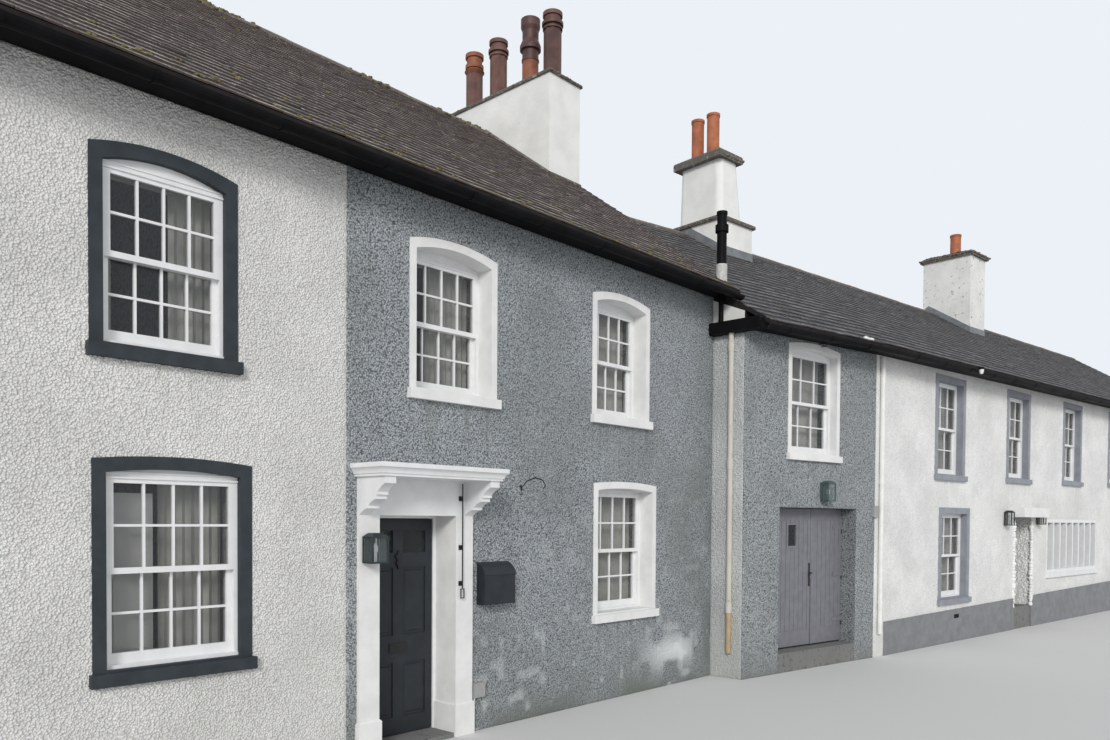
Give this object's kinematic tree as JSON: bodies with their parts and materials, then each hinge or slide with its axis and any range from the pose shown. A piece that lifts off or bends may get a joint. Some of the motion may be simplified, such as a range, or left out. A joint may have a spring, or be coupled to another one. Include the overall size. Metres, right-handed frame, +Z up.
{
  "type": "terraced house row",
  "caption": "Row of roughcast terraced houses with slate roofs, sash windows, a hooded front door, a garage doorway and chimney stacks.",
  "frame": {"origin": "middle of the foot of the party wall between the white house and the grey house", "axes": "+X along the row to the right as seen from the street, +Y from the street to the rear, +Z up"},
  "size_m": [34.0663, 11.0623, 9.6291],
  "materials": {
    "black_paint": "satin paint",
    "black_timber": "satin paint",
    "blue_slate": "weathered slate",
    "brown_slate": "weathered slate",
    "cap_stone": "rough stone",
    "charcoal_paint": "satin paint",
    "chimney_pot": "fired clay",
    "cream_pipe": "satin paint",
    "dark_paint": "painted render",
    "floor_boards": "matt boards",
    "garage_paint": "satin paint",
    "glass": "clear",
    "grey_box": "satin",
    "grey_paint_stone": "painted render",
    "grey_roughcast": "matt roughcast",
    "iron": "matt black",
    "lantern_metal": "satin",
    "lead": "matt lead",
    "letterbox_paint": "satin paint",
    "pale_grey_roughcast": "matt roughcast",
    "rear_roughcast": "matt roughcast",
    "ridge_tile": "matt",
    "step_stone": "worn stone",
    "white_joinery": "satin paint",
    "white_paint_stone": "painted render",
    "white_pipe": "satin",
    "white_render": "painted render",
    "white_roughcast": "matt roughcast"
  },
  "bodies": {
    "root": {"white_house_front_wall": "white_roughcast", "grey_house_lower_wall": "grey_roughcast", "grey_house_upper_wall": "grey_roughcast", "garage_side_walls": "pale_grey_roughcast", "garage_house_upper_wall": "pale_grey_roughcast", "long_house_lower_wall": "white_roughcast", "long_house_upper_wall": "white_roughcast", "left_rear_wall": "rear_roughcast", "right_rear_wall": "rear_roughcast", "left_roof_front_slope": "brown_slate", "left_roof_rear_slope": "brown_slate", "right_roof_front_slope": "blue_slate", "right_roof_rear_slope": "blue_slate", "end_walls": "white_roughcast", "party_walls": "rear_roughcast", "grey_house_gable_wall": "grey_roughcast", "ground_floors": "floor_boards", "upper_floors": "floor_boards", "left_chimney_stack": "white_render", "middle_chimney_stack": "white_render", "right_chimney_stack": "white_render", "chimney_caps": "cap_stone", "chimney_pots": "chimney_pot", "ridge_tiles": "ridge_tile", "lead_flashings": "lead", "fascias_and_soffits": "black_timber", "gutters": "black_paint", "dark_window_surrounds": "dark_paint", "white_window_surrounds": "white_paint_stone", "grey_window_surrounds": "grey_paint_stone", "rear_window_sills": "white_paint_stone", "left_sash_windows": "white_joinery", "right_sash_windows": "white_joinery", "rear_sash_windows": "white_joinery", "window_glass": "glass", "finned_window": "white_joinery", "door_pilasters": "white_paint_stone", "door_head_board": "white_joinery", "door_hood": "white_joinery", "front_door_frame": "white_joinery", "garage_hinge_pins": "iron", "porch_hood": "white_paint_stone", "plain_doors": "charcoal_paint", "doorway_sills": "step_stone", "long_house_plinth": "grey_paint_stone", "cream_downpipe": "cream_pipe", "white_downpipe": "white_pipe", "vent_pipe": "black_paint", "wall_lanterns": "lantern_metal", "wall_boxes": "grey_box", "letterbox": "letterbox_paint", "bell_pull": "iron", "iron_hooks": "iron"},
    "front_door_leaf": {"front_door": "charcoal_paint", "front_door_glass": "glass", "front_door_fittings": "iron"},
    "garage_left": {"garage_left_leaf": "garage_paint", "garage_leaf_glass": "glass"},
    "garage_right": {"garage_right_leaf": "garage_paint"}
  },
  "joints": [
    {"name": "front_door_hinge", "type": "hinge", "parent": "root", "child": "front_door_leaf", "pos_m": [1.134, -3.3257, 1], "axis": [0, 0, -1], "range_deg": [0, 90]},
    {"name": "garage_left_hinge", "type": "hinge", "parent": "root", "child": "garage_left", "pos_m": [6.39824, -4.01531, 1.2], "axis": [0, 0, -1], "range_deg": [0, 90]},
    {"name": "garage_right_hinge", "type": "hinge", "parent": "root", "child": "garage_right", "pos_m": [8.15237, -4.29313, 1.2], "axis": [0, 0, 1], "range_deg": [0, 90]}
  ]
}
